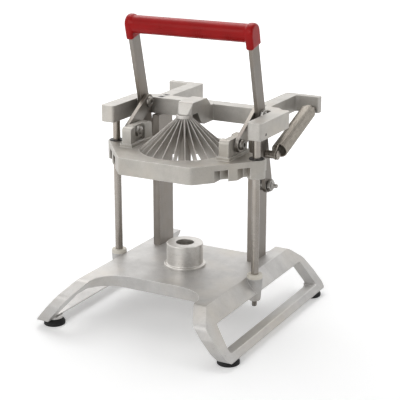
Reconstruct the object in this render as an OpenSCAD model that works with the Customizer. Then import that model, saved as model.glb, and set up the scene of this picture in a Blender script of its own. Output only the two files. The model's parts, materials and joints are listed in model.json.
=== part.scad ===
// Lever press that cuts a round vegetable or fruit into joined petals.
// A ring of thin radial blades rides down two guide rods as the handle is
// pulled forward, over food that stands on a cored cup.
// X runs left to right, Y front to back, Z up. The feet stand on Z = 0 and
// the origin is the middle of the footprint. Millimetres.

/* [Base casting] */
// Height of the deck above the table
deck_top = 62; // [56:1:70]
// Half width of the casting at deck height
deck_edge = 89.5; // [88:0.5:95]
// Deck front edge, in front of the guide rods
deck_front = 71; // [66:1:76]
// Deck rear edge, behind the guide rods
deck_rear = 76; // [70:1:84]
// Thickness of the deck
deck_t = 5; // [4:0.5:8]
// Thickness of the skirt that hangs from the deck
skirt_t = 6; // [4:0.5:8]
// Height of the skirt, deck included
skirt_h = 16; // [12:1:18]
// Lean of the side frames away from upright, degrees
side_lean = 40.65; // [38:0.05:43]
// Thickness of the side frames, square to their face
side_t = 12.8; // [10:0.2:14]
// Reach of the front legs in front of the guide rods
leg_front = 139.5; // [130:0.5:150]
// Reach of the rear legs behind the guide rods
leg_rear = 141.5; // [132:0.5:150]
// Corner radius of the legs
leg_corner_r = 12; // [6:1:14]
// Corner radius of the side windows
window_corner_r = 3; // [2:0.5:8]
// Radius of the hollow corner where the deck front meets a leg
front_fillet_r = 33; // [20:1:38]
// Radius of the hollow corner where the deck rear meets a leg
rear_fillet_r = 25; // [16:1:34]
// Thickness of the ribs under the deck
rib_t = 4.5; // [3:0.5:6]
// Flat lip along the outer edge of the window sill
sill_lip = 2; // [1.5:0.5:4]
// Fall of the sill from that lip to its inner edge
sill_drop = 3; // [1:0.2:3.2]

/* [Feet] */
// Height of a rubber foot
foot_h = 8.5; // [6:0.5:11]
// Radius of a rubber foot
foot_r = 13.5; // [11:0.5:14]
// Distance of the feet from the middle plane
foot_x = 121.8; // [120:0.2:123]
// Front feet, in front of the guide rods
foot_front = 116; // [108:1:120]
// Rear feet, behind the guide rods
foot_rear = 123; // [112:1:126]

/* [Core cup] */
// Outer radius of the cup that the food stands on
cup_r = 23; // [21:0.5:25]
// Radius of the cup's hole
cup_hole_r = 11.4; // [10.5:0.1:13]
// Height of the cup above the deck
cup_h = 30; // [24:1:32]

/* [Guide rods] */
// Distance from the middle plane to each guide rod
rod_x = 98.4; // [98:0.1:100]
// Radius of a guide rod
rod_r = 4.75; // [4:0.25:5]
// Radius of the boss that holds a rod in the base
rod_boss_r = 10; // [9.6:0.2:13]
// Radius of that boss at its foot
rod_boss_tip_r = 7.6; // [7.2:0.1:9]
// Height of the boss
rod_boss_h = 29; // [22:1:32]
// Radius of the bumper on a rod
bumper_r = 9.6; // [8:0.1:11]
// Height of the bumper on a rod
bumper_h = 5; // [3:0.5:7]

/* [Columns] */
// Inner face of a column, from the middle plane
column_x = 64.2; // [63:0.1:65]
// Thickness of a column
column_t = 10; // [8:0.5:10]
// Front face of a column, behind the guide rods
column_front = 47.7; // [46:0.1:50]
// Depth of a column, front to back
column_d = 34.8; // [28:0.2:36]

/* [Yoke casting] */
// Underside of the yoke
yoke_bottom = 239; // [232:1:244]
// Thickness of the yoke
yoke_t = 21; // [16:1:26]
// Inner face of a front block
block_in = 92.4; // [92:0.1:93]
// Outer face of a front block
block_out = 111.5; // [108:0.5:114]
// Front face of a front block, in front of the guide rods
block_front = 16.2; // [12:0.2:20]
// Rear face of a front block, behind the guide rods
block_rear = 66.5; // [62:0.5:70]
// Front to back depth of the crossbar
crossbar_d = 18.7; // [16:0.1:22]
// Inner face of a rear arm
rear_arm_in = 62; // [58:0.5:64]
// Outer face of a rear arm
rear_arm_out = 80; // [76:0.5:84]
// Rear end of the yoke, behind the guide rods
yoke_rear = 166; // [156:1:172]
// Front to back depth of the outward ends
yoke_end_d = 10; // [8:0.5:14]
// Outer face of the outward ends
yoke_end_x = 112; // [110:0.5:118]
// Half width of the raised middle bracket
bracket_half_w = 10; // [8:0.5:12]
// Height of the raised middle bracket's nose
bracket_h = 14.3; // [10:0.1:18]
// Front edge of the bracket's top, behind the guide rods
bracket_front = 3.5; // [3:0.5:6]

/* [Handle] */
// Height of the pivot
pivot_z = 162; // [158:1:166]
// Pivot, behind the guide rods
pivot_y = 65; // [64:0.5:66]
// Forward lean of the handle at rest, degrees
handle_lean = 13.8; // [12:0.1:16]
// Distance from the pivot to the middle of the grip
grip_reach = 204; // [180:1:230]
// Inner face of a handle arm
arm_x = 80.2; // [80:0.1:80.4]
// Thickness of a handle arm
arm_t = 5; // [4:0.25:5.5]
// Width of a handle arm
arm_w = 19; // [16:0.5:20]
// Radius of the cross bar inside the grip
bar_r = 8; // [6:0.5:9]
// Wall of the dipped grip sleeve
sleeve_t = 2.6; // [2:0.1:3]
// Length of the sleeve down each arm from the middle of the grip
sleeve_drop = 18; // [14:1:30]

/* [Links] */
// Inner face of a link
link_x = 74.7; // [74.5:0.1:75]
// Thickness of a link
link_t = 5; // [4:0.25:5]
// Width of a link
link_w = 19; // [16:0.5:20]
// Height of a lower link pin at rest
pin_low_z = 229; // [228:0.5:230]
// Lower link pin, in front of the guide rods
pin_low_front = 3; // [2:0.5:5]
// Distance from the handle pivot to the upper link pin
pin_high_reach = 97.8; // [94:0.2:100]
// Radius of a link bolt
link_bolt_r = 4; // [3:0.25:4.5]

/* [Return spring] */
// Distance from the handle pivot to the spring post
post_reach = 44.1; // [42:0.1:46]
// Outer radius of the spring post
post_r = 5; // [4:0.25:5.5]
// Middle plane of the spring
spring_x = 102; // [101:0.5:103]
// Outer radius of the spring
spring_r = 8.5; // [7:0.25:9]
// Thickness of the spring wire
wire_d = 2; // [1.6:0.1:2]
// Number of full turns
spring_turns = 34; // [24:1:34]
// Radius of the spring's hook on the post, to the middle of the wire
post_hook_r = 5; // [4.8:0.1:5.4]
// Radius of the spring's hook on the yoke, to the middle of the wire
yoke_hook_r = 3.1; // [3:0.1:3.2]

/* [Carriage casting] */
// Top face of the carriage at rest
carriage_top = 213; // [208:1:214]
// Thickness of the carriage
carriage_t = 21; // [16:1:24]
// Thickness of the rim flange round the carriage
flange_t = 7; // [5:0.5:9]
// Front face of the carriage, in front of the guide rods
carriage_front = 74; // [72:0.5:78]
// Half width of the front face
carriage_front_w = 49.5; // [44:0.5:54]
// Outer radius of the ring
ring_r = 71; // [68:0.5:72]
// Radius of the ring's hole
ring_hole_r = 56.6; // [55:0.2:58]
// Radius of the rod bosses on the carriage
slide_boss_r = 11; // [10.8:0.2:12.8]
// Height of the rod bosses on the carriage
slide_boss_h = 23; // [20:0.5:26]
// Radius of the rim's front corners
rim_corner_r = 9; // [4:1:14]
// Thickness of the ribs in the side pockets
web_t = 7.6; // [5:0.2:8]
// Height of a link block above the carriage
lug_h = 24.5; // [22:0.5:26]
// Inner face of a link block
lug_x = 61; // [60.5:0.1:62]
// Thickness of a link block
lug_t = 13; // [11:0.1:13.2]
// Front face of a link block, in front of the guide rods
lug_front = 26; // [22:0.5:28]
// Rear face of a link block, behind the guide rods
lug_rear = 24; // [20:0.5:26]
// Depth of the nut channel in a link block's inner face
channel_d = 4.3; // [3.5:0.1:5]

/* [Blade set] */
// Number of blades
blade_n = 24; // [12:2:30]
// Thickness of a blade
blade_t = 0.8; // [0.5:0.1:1.2]
// Height of the blade cap, top face
cap_top = 256.4; // [250:0.2:258]
// Outer radius of the blade cap
cap_r = 10; // [9.4:0.2:10]
// Outer radius of the core tube
tube_r = 8; // [7.75:0.25:9]
// Wall of the core tube
tube_t = 1; // [0.8:0.1:1.5]
// Height of the core tube's cutting edge at rest
tube_bottom = 194; // [190:1:198]
// Height of the blades' cutting edge at the core tube
edge_in_z = 231; // [228:1:236]
// Height of the blades' cutting edge at the ring
edge_out_z = 197; // [194:1:200]
// Thickness of the blade ring
blade_ring_t = 1.5; // [1:0.1:2]

/* [Fits] */
// Gap between flat parts that move past each other
side_gap = 0.5; // [0.3:0.05:0.5]
// Gap of a stop or a seat
seat_gap = 0.3; // [0.2:0.05:0.4]
// Radial gap of a fixed pin, rod or screw in its hole
fit_gap = 0.05; // [0.02:0.01:0.08]
// Radial gap of a rod in its running bush
run_gap = 0.08; // [0.04:0.01:0.1]

/* [Hidden] */

$fn = 72;
// Overrun of every cut past the face it opens
over = 1;
// How far a hollow corner bites into the edge it blends into
blend_bite = 0.03;
// Facets of each rounded outline corner
corner_steps = 7;
// Middle of the footprint against the plane of the guide rods
axis_y = (leg_front - yoke_rear) / 2;

// Base: run of the side frames, and their width on a level cut
side_h = deck_top - foot_h;
side_run = side_h * tan(side_lean);
side_w = side_t / cos(side_lean);
// Side outline from the side: reach shares, height shares, corner shares
front_leg_shares = [[0.79, 1, 0.9], [0.975, 0.716, 0.9], [1, 0.45, 0.9],
    [1, 0.178, 0.5], [0.973, 0, 0.35]];
rear_leg_shares = [[0.973, 0, 0.35], [1, 0.11, 0.4], [1, 0.4, 0.9],
    [0.975, 0.697, 0.9], [0.835, 1, 0.9]];
// Side window: reach shares of the legs, height shares of the side
window_front_shares = [[0.81, 0.664], [0.9, 0.131]];
window_rear_shares = [[0.883, 0.131], [0.876, 0.664]];
// Plane of a column's middle, and its screws
column_mid_x = column_x + column_t / 2;
column_mid_y = column_front + column_d / 2;
column_screw_r = 3;
column_screw_pitch = column_d / 2;
column_screw_grip = 18;
screw_head_r = 5;
screw_head_h = 5;
top_screw_edge = 3;
pad_margin = 4;
// Feet: screw, recess and rounding
foot_screw_r = 2.5;
foot_screw_bite = 4;
foot_head_r = 5;
foot_head_h = 2.5;
foot_recess = 4;
foot_edge_r = 2;
foot_taper = 0.5;
foot_pad_r = foot_r - over * 3;
foot_pad_h = side_h / 18;
// Cup: flange, fillet, floor and screw
cup_flange_r = cup_r + 3.5 / 23 * cup_r;
cup_flange_h = 3;
cup_rim_chamfer = 1;
cup_floor = 6;
cup_web = 1.4;
cup_boss_r = 13;
cup_screw_r = 3;
// Rods: stud, its stub under the boss, sunk nut, and seat in the yoke
rod_stud_r = 3;
rod_stub = 6;
rod_nut_h = 4.6;
rod_nut_r = 5.4;
rod_nut_sink = 5;
rod_web = 4;
rod_seat_depth = 16;
rod_tip_r = 1;
// Yoke: corner radii, middle bracket and set screws
yoke_corner_r = 4;
yoke_hollow_r = 5;
yoke_end_corner_r = 2.5;
block_neck = 8;
bracket_top_len = 36;
bracket_slope = 11;
bracket_nose_z = cap_top + seat_gap;
bracket_top = bracket_nose_z + bracket_h;
bracket_lean = 7.5;
bracket_knee_y = 16;
bracket_step_y = 24;
bracket_step_rise = 4.6;
bracket_heel_y = 33;
bracket_turn = 50;
bracket_tilt = 12.5;
set_screw_r = 2;
set_screw_z = 244.5;
set_screw_front = 2;
set_screw_sink = 2;
// Handle: fold of its outline, end radius and up-stop
arm_end_r = arm_w / 2;
grip_y = pivot_y - grip_reach * sin(handle_lean);
grip_z = pivot_z + grip_reach * cos(handle_lean);
pin_high_y = pivot_y - pin_high_reach * sin(handle_lean);
pin_high_z = pivot_z + pin_high_reach * cos(handle_lean);
arm_front_at_stop = pivot_y - (yoke_bottom - pivot_z) * tan(handle_lean);
crossbar_front = arm_front_at_stop + arm_end_r / cos(handle_lean) + seat_gap;
crossbar_rear = crossbar_front + crossbar_d;
// Pivot bolt, link bolts and nuts
pivot_bolt_r = 5;
pivot_tip = 97;
bolt_head_h = 4.2;
bolt_head_r = 7.4;
nut_h = 4.3;
nut_r = 8;
link_end_r = link_w / 2;
link_head_h = 3.6;
link_head_r = 7;
link_nut_h = 4.3;
link_nut_r = 7.4;
bolt_tip = 2;
lug_foot_h = 4;
lug_foot_w = 2.2;
lug_corner_r = 3;
lug_top_r = 5;
// Spring post on the right arm, and its angle on the arm
post_turn = 0.8;
post_neck_r = 4;
post_y = pivot_y - post_reach * sin(handle_lean - post_turn);
post_z = pivot_z + post_reach * cos(handle_lean - post_turn);
post_groove_r = post_hook_r - wire_d / 2 - seat_gap;
post_end = spring_x + post_r;
post_root_x = arm_x + arm_t;
// Spring staple on the yoke
staple_r = yoke_hook_r - wire_d / 2 - seat_gap * 2;
staple_half_w = 4.5;
staple_y = yoke_rear - yoke_end_d - yoke_hook_r - wire_d / 2 - seat_gap;
staple_z = 245.4;
staple_root = 6;
// Carriage: pockets, bosses, seats and link blocks
carriage_bottom = carriage_top - carriage_t;
pocket_front_x = 68.6;
rib_in_x = 80;
rib_out_x = rib_in_x + web_t;
carriage_waist_y = 28;
channel_front = 16;
channel_rear = 7.5;
// Where the rim runs into a rod boss: shares of the boss radius
rim_meet_shares = [[0.732, -0.628], [0.476, 0.84]];
// Bushes
bush_wall = 1.5;
bush_flange_r = 9;
bush_flange_h = 1;
// Blades
blade_seat_r = ring_hole_r - blade_ring_t - fit_gap;
cap_h = 3.8;
// Steps of a spring turn and faces of its wire
turn_steps = 8;
wire_faces = 6;

// Length and direction of a flat vector
function unit(v) = v / norm(v);

// Points of one rounded corner of an outline
function corner(a, b, c, r) =
    r == 0 ? [b] :
    let (u = unit(a - b), v = unit(c - b),
        half = acos(u * v) / 2,
        mid = b + unit(u + v) * r / sin(half),
        from = b + u * r / tan(half) - mid,
        to = b + v * r / tan(half) - mid,
        a0 = atan2(from[1], from[0]),
        raw = atan2(to[1], to[0]) - a0,
        sweep = raw > 180 ? raw - 360 : raw < -180 ? raw + 360 : raw)
    [for (i = [0 : corner_steps])
        mid + r * [cos(a0 + sweep * i / corner_steps),
            sin(a0 + sweep * i / corner_steps)]];

// Outline with rounded corners; each point is [across, up, radius]
function rounded(p) =
    [for (i = [0 : len(p) - 1])
        let (a = p[(i + len(p) - 1) % len(p)], b = p[i],
            c = p[(i + 1) % len(p)])
        each corner([a[0], a[1]], [b[0], b[1]], [c[0], c[1]], b[2])];

// Moves a piece from the guide rod plane to the part's own frame
module placed() {
    translate([0, axis_y, 0]) children();
}

// Both sides of the middle plane
module pair() {
    children();
    mirror([1, 0, 0]) children();
}

// Stands a flat [Y, Z] outline up and gives it a width along +X from x0
module along_x(x0, w) {
    translate([x0, 0, 0]) rotate([90, 0, 90]) linear_extrude(w) children();
}

// Round bar along +X
module bar_x(x0, y, z, r, len) {
    translate([x0, y, z]) rotate([0, 90, 0]) cylinder(r = r, h = len);
}

// Hexagon along +X
module hex_x(x0, y, z, r, len) {
    translate([x0, y, z]) rotate([0, 90, 0]) cylinder(r = r, h = len, $fn = 6);
}

// Upright hexagon
module hex_z(x, y, z, r, h) {
    translate([x, y, z]) cylinder(r = r, h = h, $fn = 6);
}

// Upright round bar
module bar_z(x, y, z, r, h) {
    translate([x, y, z]) cylinder(r = r, h = h);
}

// Silhouette of a side frame, window included
module side_outline() {
    front = [for (s = front_leg_shares) [-leg_front * s[0],
        foot_h + side_h * s[1], leg_corner_r * s[2]]];
    rear = [for (s = rear_leg_shares) [leg_rear * s[0],
        foot_h + side_h * s[1], leg_corner_r * s[2]]];
    polygon(rounded(concat(front, rear)));
}

module window_outline() {
    front = [for (s = window_front_shares) [-leg_front * s[0],
        foot_h + side_h * s[1], window_corner_r]];
    rear = [for (s = window_rear_shares) [leg_rear * s[0],
        foot_h + side_h * s[1], window_corner_r]];
    polygon(rounded(concat(front, rear)));
}

// Cross-section of a side frame, cut square to Y
module side_section() {
    polygon([[deck_edge, deck_top],
        [deck_edge - side_w, deck_top],
        [deck_edge - side_w + side_run, foot_h],
        [deck_edge + side_run, foot_h]]);
}

module along_y(y0, len) {
    translate([0, y0 + len, 0]) rotate([90, 0, 0]) linear_extrude(len) children();
}

// Slope of the window sill towards its inner edge, behind the flat lip
module sill_cut() {
    sill_z = foot_h + side_h * window_front_shares[1][1];
    lip_x = deck_edge + (deck_top - sill_z) * tan(side_lean) - sill_lip;
    run = (side_w - sill_lip) / 4;
    rise = sill_drop / 4;
    front_y = leg_front * window_front_shares[1][0] - window_corner_r * 2;
    rear_y = leg_rear * window_rear_shares[0][0] - window_corner_r * 2;
    along_y(-front_y, front_y + rear_y)
        polygon([[lip_x + run, sill_z + rise],
            [lip_x - run * 5, sill_z + rise],
            [lip_x - run * 5, sill_z - rise * 5]]);
}

module side_frame() {
    full = deck_edge + side_run + over;
    difference() {
        intersection() {
            along_y(-leg_front - over, leg_front + leg_rear + over * 2)
                side_section();
            along_x(0, full) side_outline();
        }
        along_x(0, full) window_outline();
        sill_cut();
    }
}

// Hollow corner between the deck and a leg, swept along the side's slope
module hollow_corner(edge, r, front) {
    flip = front ? 1 : 0;
    mirror([0, 1 - flip, 0])
        translate([deck_edge, 0, deck_top]) rotate([0, -side_lean, 0])
            translate([0, 0, -side_h]) linear_extrude(side_h * 2)
                difference() {
                    translate([-side_t - r, -edge - r])
                        square([r + over, r + over]);
                    translate([blend_bite - side_t - r, blend_bite - edge - r])
                        circle(r);
                }
}

// Room between the two sloped sides, drawn in from their outer faces
module base_envelope(z0, inset) {
    run = (deck_top - z0) * tan(side_lean);
    edge = deck_edge - inset;
    along_y(-leg_front, leg_front + leg_rear)
        polygon([[-edge, deck_top], [-edge - run, z0],
            [edge + run, z0], [edge, deck_top]]);
}

module deck() {
    skirt_z = deck_top - skirt_h;
    reach = deck_edge + side_run;
    intersection() {
        base_envelope(skirt_z, side_w / 2);
        difference() {
            union() {
                translate([-reach, -deck_front, skirt_z])
                    cube([reach * 2, deck_front + deck_rear, skirt_h]);
                pair() hollow_corner(deck_front, front_fillet_r, true);
                pair() hollow_corner(deck_rear, rear_fillet_r, false);
            }
            translate([-reach, skirt_t - deck_front, skirt_z - over])
                cube([reach * 2, deck_front + deck_rear - skirt_t * 2,
                    skirt_h - deck_t + over]);
        }
    }
}

// Ribs and screw pads under the deck
module deck_ribs() {
    rib_z = deck_top - skirt_h;
    rib_h = skirt_h - deck_t + over;
    reach = deck_edge - over;
    translate([-reach, -rib_t / 2, rib_z]) cube([reach * 2, rib_t, rib_h]);
    translate([-rib_t / 2, over - deck_front, rib_z])
        cube([rib_t, deck_front + deck_rear - over * 2, rib_h]);
    bar_z(0, 0, rib_z, cup_boss_r, rib_h);
    pair() translate([column_x - pad_margin, column_front - pad_margin, rib_z])
        cube([column_t + pad_margin * 2, deck_rear - column_front + over, rib_h]);
}

module foot_places() {
    pair() translate([foot_x, -foot_front, 0]) children();
    pair() translate([foot_x, foot_rear, 0]) children();
}

module base_screw_places() {
    pair() for (s = [-1, 1])
        translate([column_mid_x, column_mid_y + s * column_screw_pitch / 2, 0])
            children();
}

module top_screw_places() {
    pair() for (y = [crossbar_front + screw_head_r + top_screw_edge,
        column_front + column_d - screw_head_r - over])
        translate([column_mid_x, y, 0]) children();
}

module rod_boss() {
    boss_z = deck_top - rod_boss_h;
    translate([rod_x, 0, 0]) rotate_extrude()
        polygon(rounded([[0, boss_z, 0],
            [rod_boss_tip_r, boss_z, rod_boss_tip_r / 8],
            [rod_boss_r, deck_top, 0], [0, deck_top, 0]]));
}

// Stepped bore of a rod boss: rod, its stud, and the seat of the sunk nut
module rod_bore() {
    boss_z = deck_top - rod_boss_h;
    seat_z = boss_z + rod_nut_sink;
    bar_z(rod_x, 0, seat_z + rod_web, rod_r + fit_gap, rod_boss_h);
    bar_z(rod_x, 0, seat_z - over, rod_stud_r + fit_gap, rod_web + over * 2);
    bar_z(rod_x, 0, boss_z - over, rod_nut_r + seat_gap, rod_nut_sink + over);
}

module base_casting() {
    color([0.74, 0.72, 0.69]) placed() difference() {
        union() {
            deck();
            deck_ribs();
            pair() side_frame();
            pair() rod_boss();
            intersection() {
                foot_places() bar_z(0, 0, foot_h, foot_pad_r, foot_pad_h);
                base_envelope(foot_h, over);
            }
        }
        pair() rod_bore();
        base_screw_places()
            bar_z(0, 0, 0, column_screw_r + fit_gap, deck_top + over);
        foot_places() bar_z(0, 0, 0, foot_screw_r + fit_gap,
            foot_h + foot_screw_bite);
        bar_z(0, 0, 0, cup_screw_r + fit_gap, deck_top + over);
    }
}

module foot() {
    color([0.1, 0.1, 0.1]) placed() rotate_extrude()
        polygon(rounded([[foot_head_r + over, 0, 0],
            [foot_r - foot_taper, 0, foot_edge_r],
            [foot_r, foot_h, foot_edge_r / 4],
            [foot_screw_r + fit_gap, foot_h, 0],
            [foot_screw_r + fit_gap, foot_recess, 0],
            [foot_head_r + over, foot_recess, 0]]));
}

module foot_front_left() translate([-foot_x, -foot_front, 0]) foot();
module foot_front_right() translate([foot_x, -foot_front, 0]) foot();
module foot_rear_left() translate([-foot_x, foot_rear, 0]) foot();
module foot_rear_right() translate([foot_x, foot_rear, 0]) foot();

module foot_screws() {
    head_z = foot_recess - foot_head_h;
    color([0.6, 0.6, 0.6]) placed() foot_places() {
        bar_z(0, 0, head_z, foot_head_r, foot_head_h);
        bar_z(0, 0, head_z, foot_screw_r,
            foot_h + foot_screw_bite - head_z - seat_gap);
    }
}

module core_cup() {
    top = deck_top + cup_h;
    floor_z = deck_top + cup_floor;
    color([0.72, 0.7, 0.67]) placed() rotate_extrude()
        polygon(rounded([[0, floor_z - cup_web, 0],
            [cup_screw_r + fit_gap, floor_z - cup_web, 0],
            [cup_screw_r + fit_gap, deck_top, 0],
            [cup_flange_r, deck_top, 0],
            [cup_flange_r, deck_top + cup_flange_h, cup_rim_chamfer],
            [cup_r, deck_top + cup_flange_h, cup_rim_chamfer],
            [cup_r, top, cup_rim_chamfer],
            [cup_hole_r, top, cup_rim_chamfer / 2],
            [cup_hole_r, floor_z, 0], [0, floor_z, 0]]));
}

module cup_screw() {
    color([0.55, 0.55, 0.55]) placed() {
        hex_z(0, 0, deck_top - skirt_h - screw_head_h, screw_head_r,
            screw_head_h);
        bar_z(0, 0, deck_top - skirt_h - screw_head_h, cup_screw_r,
            skirt_h + screw_head_h + cup_floor - cup_web - seat_gap);
    }
}

module column() {
    color([0.66, 0.63, 0.6]) placed() difference() {
        translate([column_x, column_front, deck_top])
            cube([column_t, column_d, yoke_bottom - deck_top]);
        bar_x(column_x - over, pivot_y, pivot_z, pivot_bolt_r + fit_gap,
            column_t + over * 2);
        base_screw_places() bar_z(0, 0, deck_top - over,
            column_screw_r + fit_gap, column_screw_grip + over);
        top_screw_places() bar_z(0, 0, yoke_bottom - column_screw_grip,
            column_screw_r + fit_gap, column_screw_grip + over);
    }
}

module column_right() column();
module column_left() mirror([1, 0, 0]) column();

module column_base_screws() {
    color([0.5, 0.5, 0.5]) placed() base_screw_places() {
        hex_z(0, 0, deck_top - skirt_h - screw_head_h, screw_head_r,
            screw_head_h);
        bar_z(0, 0, deck_top - skirt_h - screw_head_h, column_screw_r,
            skirt_h + screw_head_h + column_screw_grip - seat_gap);
    }
}

module column_top_screws() {
    top = yoke_bottom + yoke_t;
    color([0.5, 0.5, 0.5]) placed() top_screw_places() {
        bar_z(0, 0, top - screw_head_h, screw_head_r, screw_head_h);
        bar_z(0, 0, yoke_bottom - column_screw_grip + seat_gap,
            column_screw_r, yoke_t + column_screw_grip - screw_head_h);
    }
}

module guide_rod() {
    boss_z = deck_top - rod_boss_h;
    low = boss_z - rod_stub;
    step_z = boss_z + rod_nut_sink + rod_web;
    high = yoke_bottom + rod_seat_depth;
    color([0.7, 0.68, 0.66]) placed() translate([rod_x, 0, 0]) rotate_extrude()
        polygon([[0, low], [rod_stud_r - rod_tip_r / 2, low],
            [rod_stud_r, low + rod_tip_r / 2], [rod_stud_r, step_z],
            [rod_r, step_z], [rod_r, high - rod_tip_r],
            [rod_r - rod_tip_r, high], [0, high]]);
}

module guide_rod_right() guide_rod();
module guide_rod_left() mirror([1, 0, 0]) guide_rod();

module rod_nuts() {
    seat_z = deck_top - rod_boss_h + rod_nut_sink;
    color([0.5, 0.5, 0.5]) placed() pair() difference() {
        hex_z(rod_x, 0, seat_z - rod_nut_h, rod_nut_r, rod_nut_h);
        bar_z(rod_x, 0, 0, rod_stud_r + fit_gap, deck_top);
    }
}

module bumper() {
    color([0.9, 0.88, 0.82]) placed() translate([rod_x, 0, deck_top])
        rotate_extrude() polygon(rounded([[rod_r + fit_gap, 0, 0],
            [bumper_r, 0, 0], [bumper_r, bumper_h, bumper_h / 4],
            [rod_r + fit_gap, bumper_h, 0]]));
}

module bumper_right() bumper();
module bumper_left() mirror([1, 0, 0]) bumper();

// Plan of the right half of the yoke
module yoke_plan() {
    end_front = yoke_rear - yoke_end_d;
    polygon(rounded([[-over, crossbar_front, 0],
        [block_in, crossbar_front, yoke_hollow_r],
        [block_in, -block_front, yoke_corner_r],
        [block_out, -block_front, yoke_corner_r],
        [block_out, block_rear, yoke_corner_r],
        [block_in + block_neck, block_rear, yoke_corner_r],
        [block_in, crossbar_rear, yoke_corner_r],
        [rear_arm_out, crossbar_rear, yoke_hollow_r],
        [rear_arm_out, end_front, yoke_hollow_r],
        [yoke_end_x, end_front, yoke_end_corner_r],
        [yoke_end_x, yoke_rear, yoke_end_corner_r],
        [rear_arm_in, yoke_rear, yoke_corner_r],
        [rear_arm_in, crossbar_rear, yoke_hollow_r],
        [-over, crossbar_rear, 0]]));
}

// Raised bracket over the blade cap, side view
module bracket_outline() {
    top_rear = bracket_front + bracket_top_len;
    yoke_top = yoke_bottom + yoke_t;
    polygon(rounded([[bracket_front - bracket_lean, bracket_nose_z, 0],
        [bracket_knee_y, bracket_nose_z, yoke_end_corner_r],
        [bracket_step_y, yoke_bottom + bracket_step_rise, yoke_corner_r],
        [bracket_heel_y, yoke_bottom, yoke_corner_r],
        [crossbar_front + over, yoke_bottom, 0],
        [crossbar_front + over, yoke_top, 0],
        [top_rear + bracket_slope, yoke_top, yoke_corner_r],
        [top_rear, bracket_top, yoke_end_corner_r],
        [bracket_front, bracket_top, yoke_end_corner_r]]));
}

// Slanting flat that narrows the foot of the bracket's nose
module nose_cut() {
    translate([bracket_half_w, bracket_front, bracket_top])
        rotate([0, 0, -bracket_turn]) rotate([0, -bracket_tilt, 0])
            translate([0, -yoke_t * 2, -yoke_t * 2])
                cube([yoke_t, yoke_t * 4, yoke_t * 4]);
}

module yoke_casting() {
    top = yoke_bottom + yoke_t;
    color([0.74, 0.72, 0.69]) placed() difference() {
        union() {
            pair() translate([0, 0, yoke_bottom]) linear_extrude(yoke_t)
                yoke_plan();
            difference() {
                along_x(-bracket_half_w, bracket_half_w * 2) bracket_outline();
                pair() nose_cut();
            }
        }
        pair() bar_z(rod_x, 0, yoke_bottom - over, rod_r + fit_gap,
            rod_seat_depth + over);
        pair() bar_x(rod_x, -set_screw_front, set_screw_z,
            set_screw_r + fit_gap, block_out);
        top_screw_places() {
            bar_z(0, 0, yoke_bottom - over, column_screw_r + fit_gap,
                yoke_t + over * 2);
            bar_z(0, 0, top - screw_head_h, screw_head_r + fit_gap,
                screw_head_h + over);
        }
        staple_legs(fit_gap);
    }
}

module rod_set_screws() {
    start = rod_x + rod_r + fit_gap;
    color([0.35, 0.35, 0.35]) placed() pair()
        bar_x(start, -set_screw_front, set_screw_z, set_screw_r,
            block_out - set_screw_sink - start);
}

module staple_legs(gap) {
    for (s = [-1, 1]) translate([spring_x + s * staple_half_w, staple_y, staple_z])
        rotate([-90, 0, 0]) cylinder(r = staple_r + gap,
            h = yoke_rear - yoke_end_d + staple_root - staple_y);
}

module spring_anchor() {
    color([0.6, 0.6, 0.6]) placed() {
        staple_legs(0);
        bar_x(spring_x - staple_half_w, staple_y, staple_z, staple_r,
            staple_half_w * 2);
        for (s = [-1, 1])
            translate([spring_x + s * staple_half_w, staple_y, staple_z])
                sphere(r = staple_r);
    }
}

module pivot_bolts() {
    color([0.62, 0.61, 0.6]) placed() pair() {
        hex_x(column_x - bolt_head_h, pivot_y, pivot_z, bolt_head_r, bolt_head_h);
        bar_x(column_x - bolt_head_h, pivot_y, pivot_z, pivot_bolt_r,
            pivot_tip - column_x + bolt_head_h);
    }
}

module pivot_spacers() {
    in_x = column_x + column_t;
    color([0.7, 0.7, 0.7]) placed() pair() difference() {
        bar_x(in_x, pivot_y, pivot_z, nut_r, arm_x - in_x - seat_gap);
        bar_x(in_x - over, pivot_y, pivot_z, pivot_bolt_r + fit_gap,
            arm_x - in_x + over * 2);
    }
}

module pivot_nuts() {
    start = arm_x + arm_t + seat_gap;
    color([0.55, 0.55, 0.55]) placed() pair() difference() {
        hex_x(start, pivot_y, pivot_z, nut_r, nut_h);
        bar_x(start - over, pivot_y, pivot_z, pivot_bolt_r + fit_gap,
            nut_h + over * 2);
    }
}

// Handle arm outline in its own line, pivot at zero and grip at +X
module arm_blank(r, reach, low) {
    translate([low, -r]) square([reach - low, r * 2]);
    translate([reach, 0]) circle(r);
}

// Lays the handle's own line into the side view
module handle_line(x0, w) {
    along_x(x0, w) translate([pivot_y, pivot_z])
        rotate([0, 0, 90 + handle_lean]) children();
}

module handle_arm() {
    color([0.66, 0.63, 0.6]) placed() difference() {
        handle_line(arm_x, arm_t) union() {
            arm_blank(arm_end_r, grip_reach, 0);
            circle(arm_end_r);
        }
        bar_x(arm_x - over, pivot_y, pivot_z, pivot_bolt_r + run_gap,
            arm_t + over * 2);
        bar_x(arm_x - over, pin_high_y, pin_high_z, link_bolt_r + fit_gap,
            arm_t + over * 2);
        bar_x(arm_x - over, post_y, post_z, post_neck_r + fit_gap,
            arm_t + over * 2);
    }
}

module handle_arm_right() handle_arm();
module handle_arm_left() mirror([1, 0, 0]) handle_arm();

module handle_bar() {
    color([0.66, 0.63, 0.6]) placed()
        bar_x(-arm_x, grip_y, grip_z, bar_r, arm_x * 2);
}

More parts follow.
